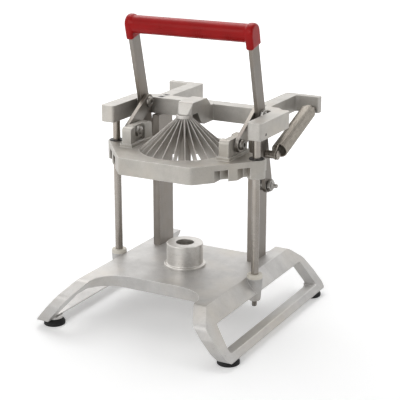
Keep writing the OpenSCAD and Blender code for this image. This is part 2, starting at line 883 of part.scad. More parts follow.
module handle_grip() {
    cap_x = arm_x - sleeve_t;
    cap_w = arm_t + sleeve_t * 2;
    color([0.62, 0.05, 0.06]) placed() difference() {
        union() {
            bar_x(-cap_x - over, grip_y, grip_z, bar_r + sleeve_t,
                cap_x * 2 + over * 2);
            pair() handle_line(cap_x, cap_w)
                arm_blank(arm_end_r + sleeve_t, grip_reach,
                    grip_reach - sleeve_drop);
        }
        bar_x(-arm_x - over, grip_y, grip_z, bar_r + fit_gap,
            arm_x * 2 + over * 2);
        pair() handle_line(arm_x - fit_gap, arm_t + fit_gap * 2)
            arm_blank(arm_end_r + fit_gap, grip_reach,
                grip_reach - sleeve_drop - over);
    }
}

module spring_post() {
    head = post_end - wire_d;
    groove = spring_x - wire_d / 2 - seat_gap;
    color([0.6, 0.58, 0.56]) placed() translate([0, post_y, post_z])
        rotate([0, 90, 0]) rotate_extrude()
            polygon([[0, arm_x], [post_neck_r, arm_x],
                [post_neck_r, post_root_x], [post_r, post_root_x],
                [post_r, groove - over], [post_groove_r, groove],
                [post_groove_r, head - over], [post_r, head],
                [post_r, post_end], [0, post_end]]);
}

module link_stub_screws() {
    start = arm_x + arm_t;
    color([0.55, 0.55, 0.55]) placed() pair() {
        bar_x(arm_x, pin_high_y, pin_high_z, link_bolt_r,
            arm_t + link_nut_h + bolt_tip);
        hex_x(start, pin_high_y, pin_high_z, link_nut_r, link_nut_h);
    }
}

// Plan of the carriage rim, right half
module rim_plan() {
    polygon(rounded([[-over, -carriage_front, 0],
        [carriage_front_w, -carriage_front, rim_corner_r],
        for (s = rim_meet_shares)
            [rod_x + slide_boss_r * s[0], slide_boss_r * s[1], 0],
        [rib_in_x, carriage_waist_y - slide_boss_r * 0.5, slide_boss_r],
        [lug_x, carriage_waist_y + slide_boss_r * 0.6, 0],
        [-over, carriage_waist_y, 0]]));
}

// Pockets that open downward beside each boss
module side_pockets() {
    back = carriage_front;
    pocket_y = carriage_waist_y;
    for (span = [[pocket_front_x, rib_in_x], [rib_out_x, rod_x]])
        translate([0, 0, -over]) linear_extrude(carriage_t - flange_t + over)
            difference() {
                polygon([[span[0], -back], [span[1], -back],
                    [span[1], pocket_y], [span[0], pocket_y]]);
                translate([rod_x, 0]) circle(slide_boss_r);
            }
}

module lug_plan(grow) {
    translate([lug_x - grow, -lug_front - grow])
        square([lug_t + grow * 2, lug_front + lug_rear + grow * 2]);
}

// Link block: upright plate with rounded ends and a small foot
module lug() {
    top = carriage_top + lug_h;
    along_x(lug_x, lug_t) polygon(rounded([
        [-lug_front, carriage_top - over, 0],
        [lug_rear, carriage_top - over, 0],
        [lug_rear, top, lug_top_r], [-lug_front, top, lug_top_r]]));
    translate([0, 0, carriage_top - over]) linear_extrude(lug_foot_h + over)
        lug_plan(lug_foot_w);
}

module carriage_casting() {
    color([0.74, 0.72, 0.69]) placed() difference() {
        union() {
            translate([0, 0, carriage_bottom]) difference() {
                union() {
                    pair() linear_extrude(carriage_t) rim_plan();
                    cylinder(r = ring_r, h = carriage_t);
                }
                pair() difference() {
                    side_pockets();
                    cylinder(r = ring_r, h = carriage_t);
                }
            }
            pair() bar_z(rod_x, 0, carriage_top - slide_boss_h, slide_boss_r,
                slide_boss_h);
            pair() lug();
        }
        bar_z(0, 0, carriage_bottom - over, ring_hole_r,
            carriage_t + lug_h + over * 2);
        pair() bar_z(rod_x, 0, carriage_bottom - slide_boss_h,
            rod_r + run_gap + bush_wall + fit_gap, slide_boss_h * 3);
        pair() bar_x(lug_x - lug_foot_w - over, -pin_low_front, pin_low_z,
            link_bolt_r + fit_gap, lug_t + lug_foot_w + over * 3);
        pair() translate([lug_x - over, -channel_front,
            carriage_top + lug_foot_h + over])
                cube([channel_d + over, channel_front + channel_rear, lug_h]);
    }
}

module bush() {
    bore = rod_r + run_gap;
    low = carriage_top - slide_boss_h;
    color([0.1, 0.1, 0.1]) placed() translate([rod_x, 0, 0]) rotate_extrude()
        polygon(rounded([[bore, low, 0], [bore + bush_wall, low, 0],
            [bore + bush_wall, carriage_top, 0],
            [bush_flange_r, carriage_top, 0],
            [bush_flange_r, carriage_top + bush_flange_h, bush_flange_h / 4],
            [bore, carriage_top + bush_flange_h, 0]]));
}

module bush_right() bush();
module bush_left() mirror([1, 0, 0]) bush();

module blade_ring() {
    color([0.68, 0.66, 0.64]) placed() difference() {
        bar_z(0, 0, edge_out_z, ring_hole_r - fit_gap,
            carriage_top - edge_out_z);
        bar_z(0, 0, edge_out_z - over, blade_seat_r,
            carriage_top - edge_out_z + over * 2);
    }
}

module blades() {
    color([0.75, 0.73, 0.71]) placed() for (i = [0 : blade_n - 1])
        rotate([0, 0, i * 360 / blade_n]) rotate([90, 0, 0])
            translate([0, 0, -blade_t / 2]) linear_extrude(blade_t)
                polygon([[tube_r + fit_gap, edge_in_z],
                    [blade_seat_r - fit_gap, edge_out_z],
                    [blade_seat_r - fit_gap, carriage_top],
                    [cap_r, cap_top - cap_h],
                    [tube_r + fit_gap, cap_top - cap_h]]);
}

module core_tube() {
    bevel = tube_t * 0.75;
    top = cap_top - cap_h;
    color([0.72, 0.7, 0.68]) placed() rotate_extrude()
        polygon([[tube_r - tube_t, tube_bottom + bevel * 3],
            [tube_r - tube_t + bevel, tube_bottom], [tube_r, tube_bottom],
            [tube_r, top], [tube_r - tube_t, top]]);
}

module blade_cap() {
    top = cap_top;
    low = cap_top - cap_h;
    color([0.7, 0.68, 0.66]) placed() rotate_extrude()
        polygon(rounded([[0, low, 0], [cap_r, low, 0],
            [cap_r, top, cap_h / 4], [0, top, 0]]));
}

module link_low_bolts() {
    start = lug_x + channel_d - link_nut_h - bolt_tip;
    color([0.62, 0.61, 0.6]) placed() pair() {
        bar_x(start, -pin_low_front, pin_low_z, link_bolt_r,
            link_x + link_t + side_gap - start);
        bar_x(link_x + link_t + side_gap, -pin_low_front, pin_low_z,
            link_head_r, link_head_h);
    }
}

module link_low_nuts() {
    color([0.55, 0.55, 0.55]) placed() pair() difference() {
        hex_x(lug_x + channel_d - link_nut_h, -pin_low_front, pin_low_z,
            link_nut_r, link_nut_h);
        bar_x(0, -pin_low_front, pin_low_z, link_bolt_r + fit_gap, link_x);
    }
}

module link() {
    color([0.66, 0.63, 0.6]) placed() difference() {
        along_x(link_x, link_t) {
            dy = pin_high_y + pin_low_front;
            dz = pin_high_z - pin_low_z;
            translate([-pin_low_front, pin_low_z])
                rotate([0, 0, atan2(dz, dy)]) {
                    arm_blank(link_end_r, norm([dy, dz]), 0);
                    circle(link_end_r);
                }
        }
        bar_x(link_x - over, -pin_low_front, pin_low_z, link_bolt_r + run_gap,
            link_t + over * 2);
        bar_x(link_x - over, pin_high_y, pin_high_z, link_bolt_r + fit_gap,
            link_t + over * 2);
    }
}

module link_right() link();
module link_left() mirror([1, 0, 0]) link();

module link_pin() {
    color([0.62, 0.61, 0.6]) placed() {
        bar_x(link_x - link_head_h, pin_high_y, pin_high_z, link_head_r,
            link_head_h);
        bar_x(link_x - link_head_h, pin_high_y, pin_high_z, link_bolt_r,
            link_head_h + link_t);
    }
}

module link_pin_right() link_pin();
module link_pin_left() mirror([1, 0, 0]) link_pin();

// Spring line: its own axis runs from the post to the staple
spring_dy = staple_y - post_y;
spring_dz = staple_z - post_z;
spring_len = norm([spring_dy, spring_dz]);
coil_r = spring_r - wire_d / 2;
coil_start = post_hook_r + wire_d * 2;
coil_end = spring_len - yoke_hook_r - wire_d * 2;
coil_pitch = (coil_end - coil_start) / spring_turns;
hook_step = 30;
hook_open = 135;
quarter = 90;
full_turn = 360;

// Each station of the wire: [along the axis, out from it, sideways] and the
// direction that the wire's own section keeps
function station(w, n, x, un, ux, uw) = [[w, n, x], [uw, un, ux]];
post_hook = [for (t = [-hook_open : hook_step : quarter])
    station(-post_hook_r * cos(t), post_hook_r * sin(t), 0,
        sin(t), 0, -cos(t))];
coil = [for (i = [0 : spring_turns * turn_steps])
    let (t = quarter + full_turn * i / turn_steps)
    station(coil_start + coil_pitch * i / turn_steps, coil_r * sin(t),
        coil_r * cos(t), sin(t), cos(t), 0)];
yoke_hook = [for (t = [quarter : -hook_step : -hook_open])
    station(spring_len + yoke_hook_r * cos(t), yoke_hook_r * sin(t), 0,
        sin(t), 0, cos(t))];
wire_path = concat(post_hook, coil, yoke_hook);
wire_n = len(wire_path);

function tangent(i) = unit(wire_path[min(i + 1, wire_n - 1)][0]
    - wire_path[max(i - 1, 0)][0]);
function wire_ring(i) =
    let (t = tangent(i), a = wire_path[i][1], u = unit(a - t * (a * t)),
        v = cross(t, u))
    [for (k = [0 : wire_faces - 1])
        wire_path[i][0] + wire_d / 2 * (u * cos(full_turn * k / wire_faces)
            + v * sin(full_turn * k / wire_faces))];
wire_points = [for (i = [0 : wire_n - 1]) each wire_ring(i)];
wire_sides = [for (i = [0 : wire_n - 2]) for (k = [0 : wire_faces - 1])
    let (a = i * wire_faces + k, b = i * wire_faces + (k + 1) % wire_faces)
    each [[a, b, a + wire_faces], [b, b + wire_faces, a + wire_faces]]];
wire_ends = [for (k = [1 : wire_faces - 2]) each [[0, k + 1, k],
    [(wire_n - 1) * wire_faces, (wire_n - 1) * wire_faces + k,
        (wire_n - 1) * wire_faces + k + 1]]];

module return_spring() {
    color([0.42, 0.4, 0.38]) placed() translate([spring_x, post_y, post_z])
        rotate([atan2(spring_dz, spring_dy), 0, 0]) rotate([90, 0, 90])
            polyhedron(wire_points, concat(wire_sides, wire_ends));
}

// Least gap between turns of the spring, measured on the wire's own points
wire_gap = min([for (i = [0 : wire_n - 1])
    for (j = [i + turn_steps / 2 : min(i + turn_steps * 2, wire_n - 1)])
        norm(wire_path[i][0] - wire_path[j][0]) - wire_d]);
echo(spring_least_gap = wire_gap);

base_casting();
core_cup();
cup_screw();
foot_front_left();
foot_front_right();
foot_rear_left();
foot_rear_right();
foot_screws();
column_left();
column_right();
column_base_screws();
column_top_screws();
guide_rod_left();
guide_rod_right();
rod_nuts();
bumper_left();
bumper_right();
yoke_casting();
rod_set_screws();
spring_anchor();
pivot_bolts();
pivot_spacers();
pivot_nuts();
return_spring();
handle_arm_left();
handle_arm_right();
handle_bar();
handle_grip();
spring_post();
link_stub_screws();
carriage_casting();
bush_left();
bush_right();
blade_ring();
blades();
core_tube();
blade_cap();
link_low_bolts();
link_low_nuts();
link_left();
link_right();
link_pin_left();
link_pin_right();
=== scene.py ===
import json
import math

import bpy
from mathutils import Matrix, Vector

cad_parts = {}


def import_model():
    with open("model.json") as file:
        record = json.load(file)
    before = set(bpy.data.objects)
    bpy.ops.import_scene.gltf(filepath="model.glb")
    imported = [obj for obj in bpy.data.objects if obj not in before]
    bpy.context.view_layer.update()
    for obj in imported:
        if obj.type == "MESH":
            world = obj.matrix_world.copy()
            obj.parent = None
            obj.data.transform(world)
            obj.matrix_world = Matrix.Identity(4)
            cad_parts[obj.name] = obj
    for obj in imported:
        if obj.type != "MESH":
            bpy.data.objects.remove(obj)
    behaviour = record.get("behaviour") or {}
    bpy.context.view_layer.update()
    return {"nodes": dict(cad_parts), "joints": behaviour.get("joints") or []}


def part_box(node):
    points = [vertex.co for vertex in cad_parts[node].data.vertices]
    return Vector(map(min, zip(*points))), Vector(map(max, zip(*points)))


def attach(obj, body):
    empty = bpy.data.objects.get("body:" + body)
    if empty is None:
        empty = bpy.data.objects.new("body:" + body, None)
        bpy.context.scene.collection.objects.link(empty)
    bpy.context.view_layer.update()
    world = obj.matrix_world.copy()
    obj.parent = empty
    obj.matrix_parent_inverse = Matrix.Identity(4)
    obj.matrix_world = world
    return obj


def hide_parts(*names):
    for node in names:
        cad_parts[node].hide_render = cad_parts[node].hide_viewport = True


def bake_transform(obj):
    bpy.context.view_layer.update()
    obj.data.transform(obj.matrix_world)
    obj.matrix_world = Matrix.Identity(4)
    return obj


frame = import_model()
nodes = frame["nodes"]
MM = 0.001
SIDES = {1: "right", -1: "left"}


# Places taken from the frame
def corners(node):
    """Lowest and highest corner of a CAD node, in millimetres."""
    low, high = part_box(node)
    return low / MM, high / MM


def middle(node):
    low, high = corners(node)
    return (low + high) / 2


def hinge(name):
    """(y, z) of a joint's axis, in millimetres."""
    joint = next(j for j in frame["joints"] if j["name"] == name)
    return joint["pos_m"][1] / MM, joint["pos_m"][2] / MM


PIVOT = hinge("handle_swing")
LOW_PIN = hinge("link_right_turn")
HIGH_PIN = (middle("link_pin_right").y, middle("link_pin_right").z)
ROD = middle("guide_rod_right")
COLUMN = middle("column_right")
COLUMN_IN = corners("column_right")[0].x
BAR_AT = middle("handle_bar")
ARM_IN, ARM_OUT = (corner.x for corner in corners("handle_arm_right"))
LINK_IN, LINK_OUT = (corner.x for corner in corners("link_right"))
CARRIAGE_TOP = corners("blade_ring")[1].z
# Forward lean of the handle at rest
LEAN = math.atan2(PIVOT[0] - BAR_AT.y, BAR_AT.z - PIVOT[1])


# Shader nodes
class Tree:
    """The shader nodes of a material or a world."""

    def __init__(self, owner):
        owner.use_nodes = True
        self.nodes, self.links = owner.node_tree.nodes, owner.node_tree.links

    def put(self, socket, value):
        """Links or sets a socket; a colour may leave out its alpha."""
        if isinstance(value, bpy.types.NodeSocket):
            self.links.new(value, socket)
        elif socket.type == "RGBA" and len(value) == 3:
            socket.default_value = (*value, 1.0)
        else:
            socket.default_value = value

    def node(self, kind, values=(), **settings):
        made = self.nodes.new(kind)
        for key, value in settings.items():
            setattr(made, key, value)
        for key, value in dict(values).items():
            self.put(made.inputs[key], value)
        return made

    def vector(self, operation, a, b=(0.0, 0.0, 0.0)):
        return self.node("ShaderNodeVectorMath", {0: a, 1: b}, operation=operation).outputs

    def number(self, operation, a, b):
        return self.node("ShaderNodeMath", {0: a, 1: b}, operation=operation).outputs[0]

    def sum(self, a, b):
        return self.number("ADD", a, b)

    def times(self, a, b):
        return self.number("MULTIPLY", a, b)

    def choose(self, factor, a, b):
        """a where the factor is 0 and b where it is 1."""
        return self.node("ShaderNodeMix", {0: factor, 2: a, 3: b}).outputs[0]

    def spread(self, source, low, high, to_low=0.0, to_high=1.0):
        """Maps low..high to to_low..to_high and holds the ends beyond."""
        values = {
            "Value": source,
            "From Min": low,
            "From Max": high,
            "To Min": to_low,
            "To Max": to_high,
        }
        return self.node("ShaderNodeMapRange", values).outputs["Result"]


class Look(Tree):
    """A material whose colour, roughness and bump come from nodes."""

    def __init__(self, name, **fixed):
        self.material = bpy.data.materials.new(name)
        super().__init__(self.material)
        self.surface = self.nodes["Principled BSDF"]
        self.coords = self.node("ShaderNodeTexCoord").outputs["Object"]
        for key, value in fixed.items():
            self.put(self.surface.inputs[key.replace("_", " ")], value)

    def turned(self, angle, scales):
        """Coordinates turned about X, then run faster along some axes."""
        values = {"Vector": self.coords, "Angle": angle}
        spun = self.node("ShaderNodeVectorRotate", values, rotation_type="X_AXIS")
        return self.vector("MULTIPLY", spun.outputs[0], scales)[0]

    def noise(self, scale, detail=3.0, rough=0.5, at=None):
        values = {
            "Vector": at or self.coords,
            "Scale": scale,
            "Detail": detail,
            "Roughness": rough,
        }
        return self.node("ShaderNodeTexNoise", values).outputs["Fac"]

    def mix(self, factor, a, b):
        values = {0: factor, 6: a, 7: b}
        return self.node("ShaderNodeMix", values, data_type="RGBA").outputs[2]

    def bump(self, height, strength, distance, under=None):
        values = {"Height": height, "Strength": strength, "Distance": distance}
        if under is not None:
            values["Normal"] = under
        return self.node("ShaderNodeBump", values).outputs["Normal"]

    def edges(self, radius):
        """(rounded normal, mask that is 1 on worn outer edges)."""
        soft = self.node("ShaderNodeBevel", {"Radius": radius}, samples=6).outputs[0]
        flat = self.node("ShaderNodeNewGeometry").outputs["Normal"]
        same = self.vector("DOT_PRODUCT", soft, flat)["Value"]
        return soft, self.spread(same, 0.995, 0.85)

    def finish(self, colour, rough, normal):
        self.put(self.surface.inputs["Base Color"], colour)
        self.put(self.surface.inputs["Roughness"], rough)
        self.put(self.surface.inputs["Normal"], normal)
        return self.material


# Materials
def cast_metal(name, dark, light):
    """Tumbled aluminium casting: blotches, fine grain, brighter worn edges."""
    rough = 0.44
    pit_colour = (0.30, 0.29, 0.27)
    stain_colour = (0.47, 0.42, 0.345)
    worn_colour = (0.86, 0.85, 0.83)
    look = Look(name, Metallic=0.7)
    blotch = look.noise(22.0, 4.0, 0.55)
    grain = look.noise(700.0, 2.0, 0.6)
    pits = look.noise(240.0, 2.0, 0.4)
    rub = look.noise(70.0, 3.0, 0.6)
    stain = look.noise(11.0, 3.0, 0.6)
    soft, worn = look.edges(0.0011)
    tone = look.sum(look.spread(blotch, 0.32, 0.68), look.spread(rub, 0.25, 0.75))
    tone = look.sum(tone, look.spread(grain, 0.3, 0.7, -0.35, 0.35))
    colour = look.mix(look.spread(tone, 0.1, 1.9), dark, light)
    colour = look.mix(look.spread(pits, 0.70, 0.80, 0.0, 0.45), colour, pit_colour)
    colour = look.mix(look.spread(stain, 0.50, 0.72, 0.0, 0.5), colour, stain_colour)
    colour = look.mix(look.times(worn, 0.5), colour, worn_colour)
    shine = look.sum(
        look.spread(blotch, 0.3, 0.7, rough + 0.07, rough - 0.05),
        look.spread(grain, 0.3, 0.7, -0.04, 0.05),
    )
    normal = look.bump(grain, 0.16, 0.0004, soft)
    normal = look.bump(look.noise(75.0, 2.0), 0.16, 0.0016, normal)
    return look.finish(colour, shine, normal)


def drawn_metal(name, dark, light, rough, along="Z", turn=0.0, wear=0.4, metal=0.95):
    """Ground or drawn steel with grain along one turned axis, and stains."""
    across, lengthwise = 420.0, 9.0
    spot_colour = (0.16, 0.14, 0.12)
    brown_colour = (0.235, 0.185, 0.135)
    worn_colour = (0.8, 0.78, 0.75)
    look = Look(name, Metallic=metal)
    scales = tuple(lengthwise if axis == along else across for axis in "XYZ")
    lines = look.noise(1.0, 4.0, 0.6, look.turned(turn, scales))
    stain = look.noise(30.0, 4.0, 0.6)
    spots = look.noise(320.0, 2.0, 0.5)
    brown = look.noise(16.0, 3.0, 0.6)
    soft, worn = look.edges(0.0007)
    tone = look.sum(look.spread(lines, 0.3, 0.7, 0.0, 0.5), look.spread(stain, 0.3, 0.7, 0.0, 0.5))
    colour = look.mix(tone, dark, light)
    colour = look.mix(look.spread(spots, 0.68, 0.78, 0.0, 0.35), colour, spot_colour)
    colour = look.mix(look.spread(brown, 0.48, 0.72, 0.0, 0.4), colour, brown_colour)
    colour = look.mix(look.times(worn, wear), colour, worn_colour)
    shine = look.sum(
        look.spread(lines, 0.3, 0.7, rough - 0.06, rough + 0.08),
        look.spread(stain, 0.3, 0.7, -0.03, 0.05),
    )
    return look.finish(colour, shine, look.bump(lines, 0.22, 0.00012, soft))


def plated_metal(name, dark, light, rough):
    """Plated fastener steel, with fine marks and dulled patches."""
    worn_colour = (0.85, 0.84, 0.82)
    look = Look(name, Metallic=1.0)
    patch = look.noise(190.0, 3.0, 0.6)
    fine = look.noise(2400.0, 2.0, 0.6)
    soft, worn = look.edges(0.0003)
    colour = look.mix(look.spread(patch, 0.3, 0.7), dark, light)
    colour = look.mix(look.times(worn, 0.35), colour, worn_colour)
    shine = look.spread(patch, 0.25, 0.75, rough - 0.05, rough + 0.12)
    return look.finish(colour, shine, look.bump(fine, 0.12, 0.00008, soft))


def vinyl(name, dark, light):
    """Thick dipped vinyl: slow waves, and deeper colour in places."""
    coat = {"Coat_Weight": 0.03, "Coat_Roughness": 0.14}
    look = Look(name, IOR=1.36, Specular_Tint=(0.95, 0.45, 0.42), **coat)
    wave = look.noise(38.0, 2.0, 0.5)
    speck = look.noise(900.0, 2.0, 0.6)
    colour = look.mix(look.spread(wave, 0.3, 0.7), dark, light)
    shine = look.sum(
        look.spread(wave, 0.3, 0.7, 0.27, 0.36),
        look.spread(speck, 0.3, 0.7, -0.02, 0.03),
    )
    normal = look.bump(wave, 0.12, 0.0016)
    return look.finish(colour, shine, look.bump(speck, 0.05, 0.0002, normal))


def plastic(name, dark, light, rough, ior=1.49):
    """Moulded plastic or rubber with faint patches and a fine grain."""
    worn_colour = (0.6, 0.58, 0.55)
    look = Look(name, IOR=ior)
    patch = look.noise(60.0, 3.0, 0.55)
    fine = look.noise(700.0, 2.0, 0.6)
    soft, worn = look.edges(0.0006)
    colour = look.mix(look.spread(patch, 0.3, 0.7), dark, light)
    colour = look.mix(look.times(worn, 0.12), colour, worn_colour)
    shine = look.sum(
        look.spread(patch, 0.3, 0.7, rough - 0.05, rough + 0.07),
        look.spread(fine, 0.3, 0.7, -0.04, 0.04),
    )
    return look.finish(colour, shine, look.bump(fine, 0.14, 0.00025, soft))


# Turn of the grain on the links, in radians
LINK_GRAIN = -0.83

CAST = cast_metal("cast_satin", (0.45, 0.438, 0.425), (0.60, 0.588, 0.572))
WARM_CAST = cast_metal("cast_warm", (0.43, 0.412, 0.383), (0.57, 0.55, 0.517))
DULL_CAST = cast_metal("cast_dull", (0.385, 0.366, 0.335), (0.515, 0.493, 0.455))
CUP = drawn_metal("cup_turned", (0.54, 0.517, 0.485), (0.78, 0.76, 0.73), 0.34, "X")
BAR = drawn_metal("bar_steel", (0.215, 0.195, 0.174), (0.33, 0.303, 0.276), 0.36)
ARM = drawn_metal("arm_steel", (0.188, 0.172, 0.154), (0.295, 0.272, 0.248), 0.35, turn=LEAN)
LINK = drawn_metal(
    "link_steel", (0.22, 0.205, 0.185), (0.34, 0.32, 0.295), 0.34, "Y", LINK_GRAIN, wear=0.15
)
ROD_STEEL = drawn_metal("rod_steel", (0.31, 0.283, 0.255), (0.43, 0.40, 0.365), 0.22)
BLADE = drawn_metal(
    "blade_steel", (0.52, 0.495, 0.465), (0.68, 0.655, 0.62), 0.38, wear=0.12, metal=0.6
)
TUBE = drawn_metal("tube_steel", (0.30, 0.285, 0.265), (0.42, 0.405, 0.385), 0.34)
ZINC = plated_metal("fastener_zinc", (0.33, 0.315, 0.295), (0.50, 0.485, 0.46), 0.30)
POST = plated_metal("post_steel", (0.27, 0.245, 0.215), (0.40, 0.37, 0.335), 0.27)
BOLT = plated_metal("bolt_grey", (0.19, 0.175, 0.155), (0.32, 0.30, 0.275), 0.30)
DARK = plated_metal("screw_dark", (0.16, 0.155, 0.15), (0.28, 0.27, 0.26), 0.33)
WIRE = plated_metal("spring_wire", (0.35, 0.32, 0.28), (0.47, 0.435, 0.385), 0.40)
VINYL = vinyl("grip_vinyl", (0.290, 0.004, 0.005), (0.380, 0.006, 0.008))
RUBBER = plastic("foot_rubber", (0.006, 0.006, 0.007), (0.014, 0.014, 0.014), 0.62, 1.38)
ACETAL = plastic("bush_acetal", (0.010, 0.010, 0.010), (0.018, 0.018, 0.017), 0.42, 1.42)
IVORY = plastic("bumper_nylon", (0.68, 0.635, 0.55), (0.80, 0.765, 0.69), 0.46)

FINISH = {
    "base_casting": CAST,
    "yoke_casting": WARM_CAST,
    "carriage_casting": DULL_CAST,
    "core_cup": CUP,
    "column_left": BAR,
    "column_right": BAR,
    "handle_arm_left": ARM,
    "handle_arm_right": ARM,
    "handle_bar": ARM,
    "link_left": LINK,
    "link_right": LINK,
    "guide_rod_left": ROD_STEEL,
    "guide_rod_right": ROD_STEEL,
    "blade_ring": BLADE,
    "blades": BLADE,
    "core_tube": TUBE,
    "blade_cap": BLADE,
    "pivot_spacers": ZINC,
    "foot_screws": ZINC,
    "spring_anchor": POST,
    "bumper_left": IVORY,
    "bumper_right": IVORY,
    "bush_left": ACETAL,
    "bush_right": ACETAL,
}
for name, material in FINISH.items():
    nodes[name].data.materials[0] = material


# Piece builders
def shown(name, data):
    """An object of the scene for some mesh, lamp or camera data."""
    made = bpy.data.objects.new(name, data)
    bpy.context.collection.objects.link(made)
    return made


class Form:
    """Rings of points in millimetres, skinned into one mesh."""

    def __init__(self, at=None):
        self.points, self.faces = [], []
        self.at = at or Matrix.Identity(4)

    def ring(self, points):
        first = len(self.points)
        self.points += [self.at @ Vector(p) for p in points]
        return list(range(first, len(self.points)))

    def skin(self, rings):
        """Joins each ring to the next."""
        for a, b in zip(rings, rings[1:]):
            n = len(a)
            self.faces += [(a[i], a[(i + 1) % n], b[(i + 1) % n], b[i]) for i in range(n)]

    def close(self, rings):
        """Joins the rings and covers the first and the last."""
        self.skin(rings)
        self.faces += [tuple(reversed(rings[0])), tuple(rings[-1])]
        return self

    def stack(self, rows, steps=48, loop=False):
        """Rows of (height, radius), each a number or a function of the angle."""
        rings = []
        for height, radius in rows:
            row = []
            for step in range(steps):
                a = 2 * math.pi * step / steps
                h = height(a) if callable(height) else height
                r = radius(a) if callable(radius) else radius
                row.append((r * math.cos(a), r * math.sin(a), h))
            rings.append(self.ring(row))
        if not loop:
            return self.close(rings)
        self.skin(rings + rings[:1])
        return self

    def mesh(self, name, material, sharp=32.0):
        data = bpy.data.meshes.new(name)
        data.from_pydata([p * MM for p in self.points], [], self.faces)
        data.validate()
        data.shade_smooth()
        data.set_sharp_from_angle(angle=math.radians(sharp))
        data.materials.append(material)
        return shown(name, data)


def joined(name, forms, material):
    whole = Form()
    for form in forms:
        first = len(whole.points)
        whole.points += form.points
        whole.faces += [tuple(i + first for i in face) for face in form.faces]
    return whole.mesh(name, material)


def hexagon(flat, turn=0.0):
    """Radius at an angle of a hexagon whose flats lie that far out."""

    def radius(a):
        off = (a - turn + math.pi / 6) % (math.pi / 3) - math.pi / 6
        return flat / math.cos(off)

    return radius


def hex_rows(z0, z1, flat, turn=0.0):
    """Rows of a hexagon with the curved chamfers of a nut or a bolt head."""
    rim_share, chamfer = 0.95, math.radians(30)
    side = hexagon(flat, turn)
    rim = flat * rim_share

    def drop(a):
        return (side(a) - rim) * math.tan(chamfer)

    return [(z0, rim), (lambda a: z0 + drop(a), side), (lambda a: z1 - drop(a), side), (z1, rim)]


def nut(at, z0, z1, flat, bore, turn=0.0):
    ease = 0.5
    rows = [(z0 + ease, bore), (z0, bore + ease)]
    rows += hex_rows(z0, z1, flat, turn)
    rows += [(z1, bore + ease), (z1 - ease, bore)]
    return Form(at).stack(rows, 72, loop=True)


def thread_rows(z0, z1, r, pitch):
    """Rows of a helical V thread from z0 to z1."""
    depth, per_turn = pitch * 0.5, 8
    # Keeps a whole number of rows from being rounded down by a hair
    slack = 0.01
    count = math.floor((z1 - z0) / pitch * per_turn + slack)

    def row(z):
        def radius(a):
            phase = (z / pitch - a / (2 * math.pi)) % 1.0
            return r - depth * abs(2 * phase - 1)

        return radius

    step = (z1 - z0) / count
    return [(z0 + step * i, row(z0 + step * i)) for i in range(count + 1)]


def socket(z, flat, deep, turn=0.0):
    """Rows that sink a hexagon socket into a head whose top is at z."""
    lead_in, cone = 0.35, 0.8
    side = hexagon(flat, turn)
    mouth = [(z, lambda a: side(a) + lead_in), (z - 0.3, side)]
    return mouth + [(z - deep, side), (z - deep - cone, 0.3)]


# Height of a link bolt's head
HEAD_H = 3.6


def domed_head(seat, radii):
    """Rows of a domed socket head on its seat, with the radii of its steps."""
    heights = (0.0, 0.3, 1.8, 2.8, 3.4, HEAD_H)
    socket_flat, socket_deep = 2.3, 1.8
    rows = [(seat + height, radius) for height, radius in zip(heights, radii)]
    return rows + socket(seat + HEAD_H, socket_flat, socket_deep)


def on_x(y, z, side=1):
    """Frame on a line along X whose own Z runs outwards on that side."""
    return Matrix.Translation((0, y, z)) @ Matrix.Rotation(math.radians(90 * side), 4, "Y")


def on_z(x, y):
    return Matrix.Translation((x, y, 0))


def on_both(at, rows, steps=48):
    """The same turned form on the right and on the left of a line along X."""
    return [Form(on_x(*at, s)).stack(rows, steps) for s in SIDES]


def place(piece, body, slot, *replaced):
    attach(piece, body)
    if replaced:
        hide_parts(*replaced)


# Pivot bolts and their nuts
def pivots():
    head_h, head_flat, shank_r, pitch, tip_r = 4.2, 6.4, 5.0, 1.5, 2.5
    nut_h, nut_flat, nut_bore, nut_turn = 4.3, 6.92, 4.7, 0.2
    head = COLUMN_IN - head_h
    nut_out = corners("pivot_nuts")[1].x
    tip = corners("pivot_bolts")[1].x
    thread = (nut_out - 1.2, nut_out + 1.6)
    rows = [(head, 0.4), (head, head_flat - 0.8)]
    rows += hex_rows(head, COLUMN_IN, head_flat)[1:]
    rows += [(COLUMN_IN, shank_r), (thread[0], shank_r)]
    rows += thread_rows(*thread, shank_r, pitch)
    rows += [(thread[1] + 0.4, shank_r - 1.0), (thread[1] + 0.8, tip_r + 0.1)]
    rows += [(tip - 0.6, tip_r), (tip, tip_r - 0.6), (tip, 0.4)]
    bolts = joined("pivot_bolt_pair", on_both(PIVOT, rows), ZINC)
    place(bolts, "frame", "fastener", "pivot_bolts")
    nut_in = nut_out - nut_h
    forms = [nut(on_x(*PIVOT, s), nut_in, nut_out, nut_flat, nut_bore, nut_turn) for s in SIDES]
    place(joined("pivot_nut_pair", forms, ZINC), "frame", "fastener", "pivot_nuts")


# Link bolts and their nuts
LINK_BOLT_R, LINK_PITCH = 4.0, 1.25
LINK_NUT_H, LINK_NUT_FLAT = 4.3, 6.4


def link_nut(at, z0, turn):
    return nut(at, z0, z0 + LINK_NUT_H, LINK_NUT_FLAT, LINK_BOLT_R - 0.3, turn)


def link_pin_head(side, tag):
    """Inner half of an upper link bolt: it fills the link's hole from inside."""
    inwards = on_x(*HIGH_PIN, side) @ Matrix.Rotation(math.pi, 4, "X")
    rows = [(-LINK_OUT, 0.3), (-LINK_OUT, LINK_BOLT_R), (-LINK_IN, LINK_BOLT_R)]
    rows += domed_head(-LINK_IN, (6.8, 7.0, 6.7, 5.9, 4.6, 3.4))
    piece = Form(inwards).stack(rows).mesh("link_pin_head_" + tag, BOLT)
    place(piece, "link_" + tag, "fastener", "link_pin_" + tag)


